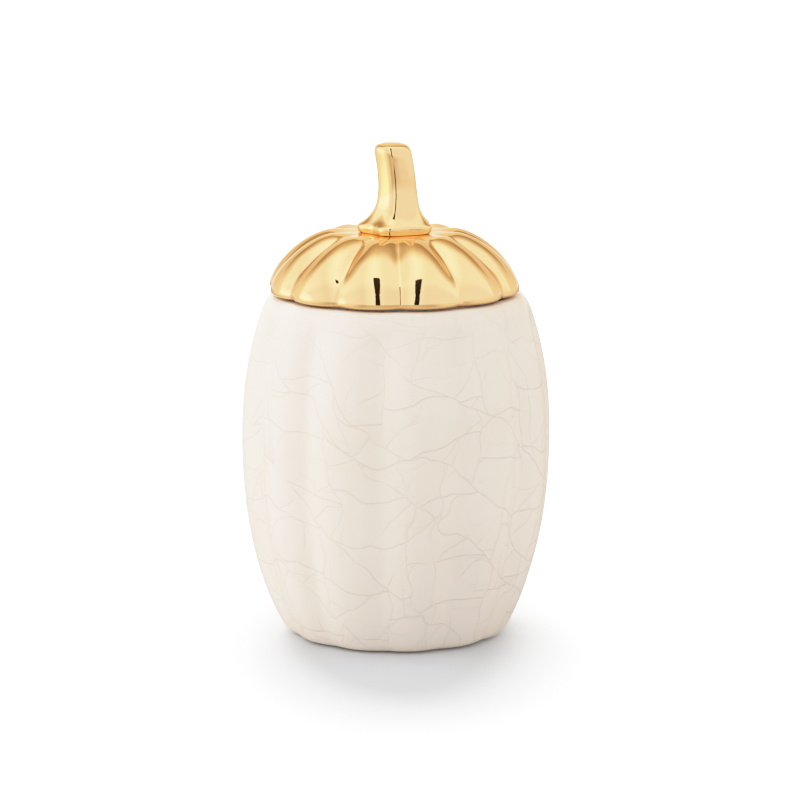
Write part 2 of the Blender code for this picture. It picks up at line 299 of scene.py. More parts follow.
def turned(name, stations, corners, lobes=1, turn=0.0, section=lambda from_groove: 0.0, loop=False):
    """Pulls a piece up ring by ring, and leaves it in edit mode.

    A loop joins its last ring to its first; else both are filled.
    """
    first = stations[0]
    piece = start_ring(name, first, corners, turn)
    flat = Station(first.radius, first.height, shift=first.shift)
    groups = groups_by_depth(piece, first.shift, lobes, turn, section)
    shape_ring(piece, first, flat, groups)
    everyone = [number for numbers in groups.values() for number in numbers]
    pick_numbers(piece, everyone)
    if not loop:
        bpy.ops.mesh.edge_face_add()
        pick_numbers(piece, everyone)
    before = first
    for station in stations[1:]:
        bpy.ops.mesh.extrude_edges_move()
        groups = groups_by_depth(piece, before.shift, lobes, turn, section)
        shape_ring(piece, station, before, groups)
        pick_numbers(piece, [number for numbers in groups.values() for number in numbers])
        before = station
    if loop:
        last = [number for numbers in groups.values() for number in numbers]
        pick_numbers(piece, everyone + last)
        bpy.ops.mesh.bridge_edge_loops()
    else:
        bpy.ops.mesh.edge_face_add()
    bpy.ops.mesh.select_all(action="SELECT")
    bpy.ops.mesh.normals_make_consistent(inside=False)
    return piece


def paint(piece, materials, numbers):
    """Gives a piece in edit mode its main material, and the other one where these points lie."""
    for material in materials:
        piece.data.materials.append(material)
    pick_numbers(piece, numbers)
    piece.active_material_index = 1
    bpy.ops.object.material_slot_assign()


def subdivided(piece, levels):
    """Leaves edit mode, applies a subdivision surface, and shades the piece smooth."""
    bpy.ops.object.mode_set(mode="OBJECT")
    modifier = piece.modifiers.new("smooth clay", "SUBSURF")
    modifier.levels = levels
    modifier.render_levels = levels
    bpy.ops.object.modifier_apply(modifier=modifier.name)
    bpy.ops.object.shade_smooth()
    return piece


# ---------------------------------------------------------------- jar


def barrel_radius(height):
    """The radius of the jar's crests: two half ovals that meet at the belly."""
    reach = BARREL_BELOW if height < BELLY_HEIGHT else BARREL_ABOVE
    share = abs(height - BELLY_HEIGHT) / reach
    return BELLY_RADIUS * (1 - share**BARREL_FLATNESS) ** (1 / BARREL_FULLNESS)


def jar_flute(height):
    """How deep the jar's grooves are: shallower at the foot, and gone at the lip."""
    rise = FOOT_FLUTE_SHARE + (1 - FOOT_FLUTE_SHARE) * smooth(height / FLUTE_FULL_HEIGHT)
    fade = smooth((height - FLUTE_FADE_START) / (LIP - LIP_ROUND - FLUTE_FADE_START))
    return JAR_FLUTE * rise * (1 - fade)


def inner_radius(height):
    """The radius inside the jar: an even wall that narrows to the mouth."""
    wall = barrel_radius(height) - JAR_WALL
    neck = smooth((height - NECK_BOTTOM) / (LIP - MOUTH_DEPTH - NECK_BOTTOM))
    return wall + (MOUTH_RADIUS - wall) * neck


def inner_flute(height):
    """How deep the grooves show inside: they fade out between the wax and the neck."""
    fade = smooth((height - WAX_TOP) / (NECK_BOTTOM - WAX_TOP))
    return INNER_FLUTE_SHARE * jar_flute(height) * (1 - fade)


def soft_lobe(from_groove):
    """The section of jar and lid: wide lobes that meet in grooves."""
    return (1 - from_groove) ** 2


def jar_stations():
    """Up the outside from the middle of the recess, over the lip, and down to the floor inside."""
    foot_flute = jar_flute(0.0)
    underside = [
        Station(POLE_RADIUS, RECESS_HEIGHT),
        Station(RECESS_RADIUS - 0.5, RECESS_HEIGHT),
        Station(RECESS_RADIUS, RECESS_HEIGHT),
        Station(FOOT_INNER - FOOT_ROUND, 0.25),
        Station(FOOT_INNER + FOOT_ROUND, 0.0),
        Station(FOOT_OUTER - FOOT_ROUND, 0.0, foot_flute),
        Station(FOOT_OUTER + 0.25, 0.1, foot_flute),
    ]
    outer = [
        Station(barrel_radius(z), z, jar_flute(z))
        for z in (1.0, 3.0, *steps(6.0, LIP - LIP_ROUND - 1.2, 17))
    ]
    lip = arc(LIP_OUTER - LIP_ROUND, LIP - LIP_ROUND, LIP_ROUND, 15, 90, 4)
    mouth = arc(MOUTH_RADIUS + MOUTH_ROUND, LIP - MOUTH_ROUND, MOUTH_ROUND, 90, 180, 3)
    heights = steps(LIP - MOUTH_DEPTH, FLOOR_BEND, 12)
    inner = [Station(inner_radius(z), z, inner_flute(z)) for z in heights]
    floor = [
        Station(inner_radius(FLOOR_BEND) - 2.0, FLOOR_HEIGHT + 1.0),
        Station(inner_radius(FLOOR_BEND) - 5.0, FLOOR_HEIGHT),
        Station(POLE_RADIUS, FLOOR_HEIGHT),
    ]
    return underside + outer + lip + mouth + inner + floor


def make_jar(glaze, clay):
    """The pot. Its foot ring is wiped clean of glaze before firing."""
    corners = LOBES * LOBE_CORNERS
    jar = turned("jar_pot", jar_stations(), corners, LOBES, JAR_TURN, soft_lobe)
    paint(jar, (glaze, clay), range(BARE_RINGS * corners))
    return subdivided(jar, 2)


# ---------------------------------------------------------------- lid


def dome_point(share):
    """(radius, height) of a point on a lobe's crest, from 0 at the rim to 1 at the crown."""
    angle = share * math.pi / 2
    out = CROWN_RADIUS + (LID_RADIUS - CROWN_RADIUS) * math.cos(angle) ** (2 / DOME_POWER)
    up = RIM_HEIGHT + (CROWN_HEIGHT - RIM_HEIGHT) * math.sin(angle) ** (2 / DOME_POWER)
    return out, up


def crown_flute(radius):
    """How deep the lid's grooves are: they fade out towards the stem."""
    return LID_FLUTE * smooth((radius - FLUTE_END_RADIUS) / (FULL_FLUTE_RADIUS - FLUTE_END_RADIUS))


def dome_station(share, inset=0.0, flute=1.0):
    """A ring of the dome, set in from its surface, whose grooves are cut square to the surface."""
    radius, height = dome_point(share)
    r0, z0 = dome_point(max(share - 0.01, 0.0))
    r1, z1 = dome_point(min(share + 0.01, 1.0))
    length = math.hypot(r1 - r0, z1 - z0)
    out, up = (z1 - z0) / length, (r0 - r1) / length
    deepened = smooth((share - RIM_FLUTE_END) / (FULL_FLUTE_START - RIM_FLUTE_END))
    rise = RIM_FLUTE_SHARE + (1 - RIM_FLUTE_SHARE) * deepened
    depth = flute * rise * crown_flute(radius)
    return Station(radius - inset * out, height - inset * up, depth * out, depth * up)


def crown_station(radius):
    """A ring of the crown, which sinks into the dimple under the stem."""
    share = smooth((radius - DIMPLE_RADIUS) / (CROWN_RADIUS - DIMPLE_RADIUS))
    return Station(radius, CROWN_HEIGHT - DIMPLE_DEPTH * (1 - share), 0.0, crown_flute(radius))


def lid_stations():
    """(outside, inside): over the dome and down the stem's hole, then the hollow and the flange."""
    rim_flute = RIM_FLUTE_SHARE * LID_FLUTE
    rim = arc(LID_RADIUS - RIM_ROUND, RIM_HEIGHT, RIM_ROUND, -90, -20, 4, rim_flute)
    dome = [dome_station(share) for share in steps(0.0, DOME_END, 12)]
    crown = [crown_station(r) for r in steps(CROWN_RADIUS, DIMPLE_RADIUS, 4)]
    hole = [
        Station(TENON_HOLE + EDGE, STEM_SEAT),
        Station(TENON_HOLE, STEM_SEAT - EDGE),
        Station(TENON_HOLE, STEM_SEAT - LID_WALL + EDGE),
        Station(TENON_HOLE + EDGE, STEM_SEAT - LID_WALL),
    ]
    shares = steps(HOLLOW_TOP, HOLLOW_BOTTOM, 5)
    inside = [dome_station(share, LID_WALL, INNER_FLUTE_SHARE) for share in shares]
    flange = [
        Station(FLANGE_INNER, LID_SEAT),
        Station(FLANGE_INNER, FLANGE_BOTTOM + FLANGE_ROUND),
        Station(FLANGE_INNER + EDGE, FLANGE_BOTTOM),
        Station(FLANGE_OUTER - FLANGE_ROUND, FLANGE_BOTTOM),
        Station(FLANGE_OUTER, FLANGE_BOTTOM + FLANGE_ROUND),
        Station(FLANGE_OUTER, SEAL_BOTTOM - GAP - CRISP),
        Station(FLANGE_OUTER, SEAL_BOTTOM - GAP),
        Station(SEAL_GROOVE_FLOOR, SEAL_BOTTOM - GAP),
        Station(SEAL_GROOVE_FLOOR, SEAL_BOTTOM - GAP + CRISP),
        Station(SEAL_GROOVE_FLOOR, SEAL_TOP + GAP - CRISP),
        Station(SEAL_GROOVE_FLOOR, SEAL_TOP + GAP),
        Station(FLANGE_OUTER, SEAL_TOP + GAP),
        Station(FLANGE_OUTER, SEAL_TOP + GAP + CRISP),
        Station(FLANGE_OUTER, LID_SEAT - CRISP),
        Station(FLANGE_OUTER + CRISP, LID_SEAT),
    ]
    return rim + dome + crown + hole, inside + flange


def make_lid(gold, glaze):
    """The lid: gold outside and on the hollow's ceiling, plain glaze on the hollow's wall and the flange.

    Its grooves are rounded, and the dome above the seat is shifted a little to the left.
    """
    corners = LOBES * LID_LOBE_CORNERS
    outside, inside = lid_stations()
    stations = outside + inside
    lid = turned("lid_dome", stations, corners, LOBES, LID_TURN, soft_lobe, loop=True)
    paint(lid, (gold, glaze), range(len(outside) * corners, len(stations) * corners))
    half_pitch = math.pi / LOBES

    def in_groove(place):
        angle = (math.atan2(place.y, place.x) - FRONT - LID_TURN) % (2 * half_pitch)
        return min(angle, 2 * half_pitch - angle) < 0.01

    pick(lid, in_groove)
    bpy.ops.mesh.bevel(offset=GROOVE_ROUND * MM, segments=2, affect="EDGES")
    pick(lid, lambda place: place.z > (LID_SEAT - 0.1) * MM)
    bpy.ops.transform.translate(value=(DOME_SHIFT * MM, 0, 0))
    return subdivided(lid, 2)


# ---------------------------------------------------------------- stem


def lean_at(height):
    """How far the stem's centre lies to the right at a height, in millimetres: a shallow bow."""
    bow = STEM_BOW_SHIFT - STEM_BOW * (height - STEM_BOW_HEIGHT) ** 2
    return bow * smooth((height - STEM_BOW_START) / STEM_BOW_RAMP)


def soft_ridge(from_groove):
    """The stem's section: faces that run softly from ridge to ridge."""
    return 0.5 + 0.5 * math.cos(math.pi * from_groove)


def stem_cut(radius):
    """How deep the stem's grooves are: deeper as it flares."""
    flared = max(radius - STEM_RADIUS, 0.0) / (STEM_FOOT_RADIUS - STEM_RADIUS)
    return radius * (STEM_GROOVE_SHARE + (STEM_FOOT_GROOVE_SHARE - STEM_GROOVE_SHARE) * flared)


def stem_station(radius, height):
    return Station(radius, height, stem_cut(radius), 0.0, lean_at(height))


def stem_side(height):
    """A ring of the shaft, which widens to its foot."""
    flare = STEM_FLARE * math.exp(-(height - STEM_FLARE_HEIGHT) / STEM_FLARE_LENGTH)
    return stem_station(min(STEM_RADIUS + flare, STEM_FOOT_RADIUS), height)


def stem_stations():
    """From the tenon, round the foot's edge and up the shaft to its rounded top."""
    seat = STEM_SEAT + GAP
    under_edge = STEM_FOOT_TOP - 2 * STEM_FOOT_EDGE - STEM_CREASE
    tenon = TENON_HOLE - GAP
    foot = [
        Station(tenon, seat - TENON_DEPTH),
        Station(tenon, seat),
        Station(STEM_FOOT_SEAT, seat),
        stem_station(STEM_FOOT_RADIUS - STEM_FOOT_EDGE, under_edge),
        stem_station(STEM_FOOT_RADIUS, STEM_FOOT_TOP - STEM_FOOT_EDGE),
    ]
    side = [stem_side(STEM_FOOT_TOP + rise) for rise in STEM_RISES]
    top = STEM_TOP - STEM_TOP_ROUND
    inner = STEM_RADIUS - STEM_TOP_ROUND
    rounding = [
        stem_station(
            inner + STEM_TOP_ROUND * math.cos(math.radians(a)),
            top + STEM_TOP_ROUND * math.sin(math.radians(a)),
        )
        for a in steps(0, 90, 3)
    ]
    return foot + side + rounding + [stem_station(2.0, STEM_TOP + STEM_TOP_DOME)]


def make_stem():
    """The ridged knob, with the tenon that sits in the lid's hole."""
    corners = STEM_RIDGES * STEM_CORNERS
    stem = turned("stem_knob", stem_stations(), corners, STEM_RIDGES, STEM_TURN, soft_ridge)
    return subdivided(stem, 2)


# ---------------------------------------------------------------- seal ring


def make_seal():
    """A soft ring with two lips."""
    inner = SEAL_GROOVE_FLOOR + GAP
    third = (SEAL_TOP - SEAL_BOTTOM) / 3
    stations = [
        Station(inner, SEAL_BOTTOM),
        Station(SEAL_BAND, SEAL_BOTTOM),
        Station(SEAL_LIP, SEAL_BOTTOM + third * 0.35),
        Station(SEAL_LIP, SEAL_BOTTOM + third * 0.65),
        Station(SEAL_BAND, SEAL_BOTTOM + third),
        Station(SEAL_BAND, SEAL_TOP - third),
        Station(SEAL_LIP, SEAL_TOP - third * 0.65),
        Station(SEAL_LIP, SEAL_TOP - third * 0.35),
        Station(SEAL_BAND, SEAL_TOP),
        Station(inner, SEAL_TOP),
    ]
    ring = turned("seal_gasket", stations, SEAL_CORNERS, loop=True)
    return subdivided(ring, 1)


# ---------------------------------------------------------------- candle


def make_wax():
    """The poured candle: its top climbs a little where the wax wetted the wall and the wick."""
    edge = inner_radius(WAX_TOP) - WAX_CLEARANCE
    bore = WICK_RADIUS + GAP
    side = [
        Station(inner_radius(z) - WAX_CLEARANCE, z, inner_flute(z))
        for z in steps(WAX_BOTTOM, WAX_TOP - 0.6, 6)
    ]
    top = [
        Station(edge - 0.05, WAX_TOP, inner_flute(WAX_TOP)),
        Station(edge - 0.5, WAX_TOP - 0.15, inner_flute(WAX_TOP)),
        Station(edge - 1.6, WAX_TOP - 0.7, inner_flute(WAX_TOP)),
        Station(edge - 4.0, WAX_TOP - 1.0),
        Station(24.0, WAX_TOP - 1.0),
        Station(12.0, WAX_TOP - 1.05),
        Station(6.0, WAX_TOP - 1.0),
        Station(3.0, WAX_TOP - 0.8),
        Station(bore + 0.4, WAX_TOP - 0.2),
        Station(bore, WAX_TOP - 0.2),
        Station(bore, WAX_TOP - 2.0),
        Station(bore, WAX_BOTTOM + 2.0),
    ]
    bottom = [
        Station(bore + 14.0, WAX_BOTTOM),
        Station(inner_radius(WAX_BOTTOM) - 2.0, WAX_BOTTOM - 0.5),
    ]
    stations = side + top + bottom
    corners = LOBES * LOBE_CORNERS
    wax = turned("wax_candle", stations, corners, LOBES, JAR_TURN, soft_lobe, loop=True)
    return subdivided(wax, 1)


def make_wick():
    """Cotton strands laid round each other."""
    lay_radius = WICK_RADIUS - STRAND_RADIUS
    rise = (WICK_TOP - WICK_BOTTOM) / WICK_RINGS * MM
    twist = 2 * math.pi * WICK_TURNS / WICK_RINGS
    strands = []
    for i in range(WICK_STRANDS):
        angle = i * 2 * math.pi / WICK_STRANDS
        across = lay_radius * math.cos(angle)
        along = lay_radius * math.sin(angle)
        bpy.ops.object.select_all(action="DESELECT")
        bpy.ops.mesh.primitive_circle_add(
            vertices=8,
            radius=STRAND_RADIUS * MM,
            location=(across * MM, along * MM, WICK_BOTTOM * MM),
            fill_type="NGON",
        )
        strand = bpy.context.active_object
        bpy.ops.object.transform_apply(location=True, rotation=True, scale=True)
        bpy.ops.object.mode_set(mode="EDIT")
        bpy.ops.mesh.select_all(action="SELECT")
        for _ in range(WICK_RINGS):
            bpy.ops.mesh.extrude_region_move(TRANSFORM_OT_translate={"value": (0, 0, rise)})
            bpy.ops.transform.rotate(value=twist, orient_axis="Z", center_override=(0, 0, 0))
        bpy.ops.mesh.select_all(action="SELECT")
        bpy.ops.mesh.normals_make_consistent(inside=False)
        bpy.ops.object.mode_set(mode="OBJECT")
        strands.append(strand)
    for strand in strands:
        strand.select_set(True)
    bpy.context.view_layer.objects.active = strands[0]
    bpy.ops.object.join()
    wick = bpy.context.active_object
    wick.name = "wick_braid"
    bpy.ops.object.mode_set(mode="EDIT")
    return subdivided(wick, 1)


# ---------------------------------------------------------------- materials


def linear(colour):
    """sRGB hex to the linear colour, with alpha, that a shader takes."""
    channels = [int(colour[i : i + 2], 16) / 255 for i in (1, 3, 5)]
    return tuple(c / 12.92 if c <= 0.04045 else ((c + 0.055) / 1.055) ** 2.4 for c in channels) + (1.0,)


def new_material(name):
    """An empty material with a Principled shader on its output: (material, tree, shader)."""
    made = bpy.data.materials.new(name)
    made.use_nodes = True
    tree = made.node_tree
    return made, tree, tree.nodes["Principled BSDF"]


def feed(tree, node, inputs):
    """Gives a node its inputs: each is a value, or the socket that it is linked from."""
    for socket, value in inputs.items():
        if isinstance(value, bpy.types.NodeSocket):
            tree.links.new(value, node.inputs[socket])
        else:
            node.inputs[socket].default_value = value


def add(tree, kind, inputs=None, **settings):
    """Adds a node with its settings and inputs."""
    node = tree.nodes.new(kind)
    for name, value in settings.items():
        setattr(node, name, value)
    feed(tree, node, inputs or {})
    return node


# Generations of cracks, oldest first: (direction, spacing, width, strength, and the noise level that a
# patch has to pass before it cracks).
CRACKS = (
    ("sloping", 26.0, 0.34, 0.85, 0.3),
    ("around", 23.0, 0.3, 0.65, 0.3),
    ("upward", 17.0, 0.34, 0.9, 0.2),
    ("falling", 21.0, 0.3, 0.7, 0.36),
    ("around", 14.0, 0.28, 0.6, 0.44),
    ("upward", 10.0, 0.26, 0.55, 0.48),
)
# The waves that bend the cracks, in millimetres: (length, reach).
CRACK_WAVES = ((42.0, 26.0), (12.0, 7.0), (3.0, 0.7))
# How steeply the slanting directions climb.
CRACK_SLOPE = 0.75
CRACK_FALL = -0.9
# The size of the patches, in millimetres.
CRACK_PATCH = 16.0
# How much of the stain's colour a crack takes.
CRACK_STAIN = 0.14


def crack_generation(tree, along, spacing, tile):
    """One generation of cracks across a direction: (millimetres to the nearest one, tile number).

    The tile of the generation before moves the pattern, so that cracks end on the older ones.
    """
    place = add(tree, "ShaderNodeMath", {0: along, 1: 1 / spacing}, operation="MULTIPLY")
    shifted = {0: tile, 1: 61.0, 2: place.outputs[0]}
    shifted = add(tree, "ShaderNodeMath", shifted, operation="MULTIPLY_ADD")
    found = []
    for feature in ("DISTANCE_TO_EDGE", "F1"):
        inputs = {"W": shifted.outputs[0], "Scale": 1.0}
        settings = {"voronoi_dimensions": "1D", "feature": feature}
        found.append(add(tree, "ShaderNodeTexVoronoi", inputs, **settings))
    away = {0: found[0].outputs["Distance"], 1: spacing}
    away = add(tree, "ShaderNodeMath", away, operation="MULTIPLY")
    return away.outputs[0], found[1].outputs["Color"]


def crack_directions(tree, place, split):
    """The directions that cracks are counted along, in millimetres, with slow waves in them."""
    front = add(tree, "ShaderNodeMath", {0: split["Y"], 1: -1.0}, operation="MULTIPLY")
    angle = {0: split["X"], 1: front.outputs[0]}
    angle = add(tree, "ShaderNodeMath", angle, operation="ARCTAN2")
    flat = {0: angle.outputs[0], 1: BELLY_RADIUS}
    around = add(tree, "ShaderNodeMath", flat, operation="MULTIPLY").outputs[0]
    upward = add(tree, "ShaderNodeMath", {0: split["Z"], 1: 1 / MM}, operation="MULTIPLY").outputs[0]
    for length, reach in CRACK_WAVES:
        waves = {"Vector": place, "Scale": 1 / (length * MM), "Detail": 1.0}
        waves = add(tree, "ShaderNodeTexNoise", waves).outputs["Color"]
        parts = add(tree, "ShaderNodeSeparateColor", {"Color": waves}).outputs
        moved = {0: parts[0], 1: reach, 2: around}
        around = add(tree, "ShaderNodeMath", moved, operation="MULTIPLY_ADD").outputs[0]
        moved = {0: parts[1], 1: reach, 2: upward}
        upward = add(tree, "ShaderNodeMath", moved, operation="MULTIPLY_ADD").outputs[0]
    directions = {"around": around, "upward": upward}
    for name, slope in (("sloping", CRACK_SLOPE), ("falling", CRACK_FALL)):
        tilted = {0: around, 1: slope, 2: upward}
        directions[name] = add(tree, "ShaderNodeMath", tilted, operation="MULTIPLY_ADD").outputs[0]
    return directions


def crackle(tree, place):
    """Crazing as it opens while the glaze cools: long cracks first, then ones that end on them.

    The result is 0 in sound glaze and up to 1 in a crack. It is a little fainter to the left, partly from
    the crazing's own spread and partly as painted light, the wash of the key light on that side; and it is
    much fainter near the lip.
    """
    split = add(tree, "ShaderNodeSeparateXYZ", {"Vector": place}).outputs
    directions = crack_directions(tree, place, split)
    tile = 0.0
    cracks = 0.0
    for number, (direction, spacing, width, strength, gaps) in enumerate(CRACKS):
        away, tile = crack_generation(tree, directions[direction], spacing, tile)
        line = {"Value": away, "From Min": width * 0.25, "From Max": width}
        line = {**line, "To Min": strength, "To Max": 0.0}
        line = add(tree, "ShaderNodeMapRange", line, interpolation_type="SMOOTHSTEP").outputs[0]
        patch = {"Vector": place, "W": number * 3.1, "Scale": 1 / (CRACK_PATCH * MM), "Detail": 1.0}
        patch = add(tree, "ShaderNodeTexNoise", patch, noise_dimensions="4D").outputs[0]
        shown = {"Value": patch, "From Min": gaps, "From Max": gaps + 0.12}
        shown = add(tree, "ShaderNodeMapRange", shown).outputs[0]
        drawn = add(tree, "ShaderNodeMath", {0: line, 1: shown}, operation="MULTIPLY").outputs[0]
        cracks = add(tree, "ShaderNodeMath", {0: drawn, 1: cracks}, operation="MAXIMUM").outputs[0]
    # Partly painted light: the cracks are drawn fainter on the left, where the key light washes them out.
    side = {"Value": split["X"], "From Min": -0.04, "From Max": 0.035, "To Min": 0.8}
    side = add(tree, "ShaderNodeMapRange", side).outputs[0]
    lip = {"Value": split["Z"], "From Min": 0.08, "From Max": 0.108, "To Min": 1.0, "To Max": 0.3}
    lip = add(tree, "ShaderNodeMapRange", lip).outputs[0]
    level = add(tree, "ShaderNodeMath", {0: side, 1: lip}, operation="MULTIPLY").outputs[0]
    return add(tree, "ShaderNodeMath", {0: cracks, 1: level}, operation="MULTIPLY").outputs[0]


def glaze_material(name, with_cracks):
    """Thick ivory glaze. Its tone drifts where it pooled, and it has pinholes and slow waves."""
    made, tree, shader = new_material(name)
    place = add(tree, "ShaderNodeTexCoord").outputs["Object"]
    pooled = add(tree, "ShaderNodeTexNoise", {"Vector": place, "Scale": 30.0, "Detail": 3.0}).outputs[0]
    tone = {"Fac": pooled, "Color1": linear("#F3E6D9"), "Color2": linear("#EBDCCC")}
    tone = add(tree, "ShaderNodeMixRGB", tone).outputs[0]
    height = add(tree, "ShaderNodeTexNoise", {"Vector": place, "Scale": 55.0, "Detail": 1.0}).outputs[0]
    waves = {"Height": height, "Strength": 0.5, "Distance": 0.0006}
    surface = add(tree, "ShaderNodeBump", waves).outputs[0]
    hole = {"Vector": place, "Scale": 1 / (17.0 * MM)}
    hole = add(tree, "ShaderNodeTexVoronoi", hole)
    pit = {"Value": hole.outputs["Distance"], "From Min": 0.012, "From Max": 0.022}
    pit = {**pit, "To Min": 1.0, "To Max": 0.0}
    pit = add(tree, "ShaderNodeMapRange", pit).outputs[0]
    marks = pit
    if with_cracks:
        lines = crackle(tree, place)
        marks = add(tree, "ShaderNodeMath", {0: pit, 1: lines}, operation="MAXIMUM").outputs[0]
    stained = add(tree, "ShaderNodeMath", {0: marks, 1: CRACK_STAIN}, operation="MULTIPLY").outputs[0]
    stained = {"Fac": stained, "Color1": tone, "Color2": linear("#A98562")}
    stained = add(tree, "ShaderNodeMixRGB", stained).outputs[0]
    cut = {"Height": marks, "Strength": 0.6, "Distance": 0.00025, "Normal": surface}
    cut = add(tree, "ShaderNodeBump", cut, invert=True).outputs[0]
    rough = {"Value": pooled, "From Min": 0.3, "From Max": 0.7, "To Min": 0.18, "To Max": 0.26}
    rough = add(tree, "ShaderNodeMapRange", rough).outputs[0]
    looks = {"Base Color": stained, "Roughness": rough, "Normal": cut}
    feed(tree, shader, {**looks, "IOR": 1.5, "Specular IOR Level": 0.3})
    return made


def clay_material():
    """Bare fired clay: chalky, with a sandy grain and dark iron specks."""
    made, tree, shader = new_material("bare fired clay")
    place = add(tree, "ShaderNodeTexCoord").outputs["Object"]
    grain = add(tree, "ShaderNodeTexNoise", {"Vector": place, "Scale": 2200.0, "Detail": 3.0}).outputs[0]
    tone = {"Fac": grain, "Color1": linear("#E2D2BA"), "Color2": linear("#F0E5D2")}
    tone = add(tree, "ShaderNodeMixRGB", tone).outputs[0]
    speck = add(tree, "ShaderNodeTexVoronoi", {"Vector": place, "Scale": 700.0}).outputs["Distance"]
    speck = {"Value": speck, "From Min": 0.1, "From Max": 0.2, "To Min": 0.7, "To Max": 0.0}
    speck = add(tree, "ShaderNodeMapRange", speck).outputs[0]
    colour = add(tree, "ShaderNodeMixRGB", {"Fac": speck, "Color1": tone, "Color2": linear("#9A7654")})
    rough = add(tree, "ShaderNodeBump", {"Height": grain, "Strength": 0.6, "Distance": 0.0001})
    looks = {"Base Color": colour.outputs[0], "Roughness": 0.9, "Normal": rough.outputs[0]}
    feed(tree, shader, looks)
    return made


def gold_material():
    """Fired gold lustre over glaze: a mirror with slow waves, brushed on in uneven thickness."""
    made, tree, shader = new_material("gold lustre over glaze")
    place = add(tree, "ShaderNodeTexCoord").outputs["Object"]
    thick = add(tree, "ShaderNodeTexNoise", {"Vector": place, "Scale": 70.0, "Detail": 3.0}).outputs[0]
    tone = {"Fac": thick, "Color1": linear("#F9D6A2"), "Color2": linear("#F4CD98")}
    tone = add(tree, "ShaderNodeMixRGB", tone).outputs[0]
    rough = {"Value": thick, "From Min": 0.35, "From Max": 0.65, "To Min": 0.03, "To Max": 0.07}
    rough = add(tree, "ShaderNodeMapRange", rough).outputs[0]
    slow = add(tree, "ShaderNodeTexNoise", {"Vector": place, "Scale": 90.0, "Detail": 1.0}).outputs[0]
    waves = {"Height": slow, "Strength": 0.35, "Distance": 0.0004}
    waves = add(tree, "ShaderNodeBump", waves).outputs[0]
    fine = add(tree, "ShaderNodeTexNoise", {"Vector": place, "Scale": 900.0, "Detail": 2.0}).outputs[0]
    peel = {"Height": fine, "Strength": 0.12, "Distance": 0.00003, "Normal": waves}
    peel = add(tree, "ShaderNodeBump", peel).outputs[0]
    looks = {"Base Color": tone, "Roughness": rough, "Normal": peel, "Metallic": 1.0}
    feed(tree, shader, looks)
    return made


def wax_material():
    """Soy wax: light soaks in, and it dries with pale frosting and small sinks."""
    made, tree, shader = new_material("poured soy wax")
    place = add(tree, "ShaderNodeTexCoord").outputs["Object"]
    frost = {"Vector": place, "Scale": 140.0, "Detail": 6.0, "Roughness": 0.65}
    frost = add(tree, "ShaderNodeTexNoise", frost)
    patches = {"Value": frost.outputs[0], "From Min": 0.48, "From Max": 0.6}
    patches = add(tree, "ShaderNodeMapRange", patches).outputs[0]
    tone = {"Fac": patches, "Color1": linear("#F1E6D0"), "Color2": linear("#FBF6EC")}
    tone = add(tree, "ShaderNodeMixRGB", tone).outputs[0]
    rough = {"Value": patches, "To Min": 0.32, "To Max": 0.6}
    rough = add(tree, "ShaderNodeMapRange", rough).outputs[0]
    sinks = add(tree, "ShaderNodeTexNoise", {"Vector": place, "Scale": 60.0, "Detail": 4.0}).outputs[0]
    sinks = add(tree, "ShaderNodeBump", {"Height": sinks, "Strength": 0.5, "Distance": 0.0006}).outputs[0]
    looks = {"Base Color": tone, "Roughness": rough, "Normal": sinks, "IOR": 1.44}
    soft = {"Subsurface Weight": 0.5, "Subsurface Radius": (1.0, 0.8, 0.5), "Subsurface Scale": 0.004}
    feed(tree, shader, {**looks, **soft})
    return made


def cotton_material():
    """Waxed cotton yarn: fibres run round each strand, and the wax darkens it in places."""
    made, tree, shader = new_material("waxed cotton")
    place = add(tree, "ShaderNodeTexCoord").outputs["Object"]
    stretched = add(tree, "ShaderNodeMapping", {"Vector": place, "Scale": (1.0, 1.0, 3.5)}).outputs[0]
    fibre = add(tree, "ShaderNodeTexNoise", {"Vector": stretched, "Scale": 5000.0, "Detail": 3.0}).outputs[0]
    soaked = add(tree, "ShaderNodeTexNoise", {"Vector": place, "Scale": 400.0, "Detail": 1.0}).outputs[0]
    tone = {"Fac": soaked, "Color1": linear("#F4EEE0"), "Color2": linear("#E3D8C0")}
    tone = add(tree, "ShaderNodeMixRGB", tone).outputs[0]
    fuzz = add(tree, "ShaderNodeBump", {"Height": fibre, "Strength": 0.8, "Distance": 0.0001}).outputs[0]
    looks = {"Base Color": tone, "Roughness": 0.75, "Normal": fuzz, "Sheen Weight": 0.2}
    feed(tree, shader, looks)
    return made


def silicone_material():
    """Clear silicone rubber, milky in bulk, with a little dust on it."""
    made, tree, shader = new_material("milky silicone rubber")
    place = add(tree, "ShaderNodeTexCoord").outputs["Object"]
    dust = add(tree, "ShaderNodeTexNoise", {"Vector": place, "Scale": 900.0, "Detail": 4.0}).outputs[0]
    dust = add(tree, "ShaderNodeMapRange", {"Value": dust, "From Min": 0.55, "From Max": 0.7}).outputs[0]
    tone = {"Fac": dust, "Color1": linear("#DFDDD6"), "Color2": linear("#F4F3EF")}
    tone = add(tree, "ShaderNodeMixRGB", tone).outputs[0]
    rough = {"Value": dust, "To Min": 0.35, "To Max": 0.6}
    rough = add(tree, "ShaderNodeMapRange", rough).outputs[0]
    looks = {"Base Color": tone, "Roughness": rough, "IOR": 1.41, "Transmission Weight": 0.25}
    feed(tree, shader, {**looks, "Subsurface Weight": 0.3, "Subsurface Scale": 0.002})
    return made


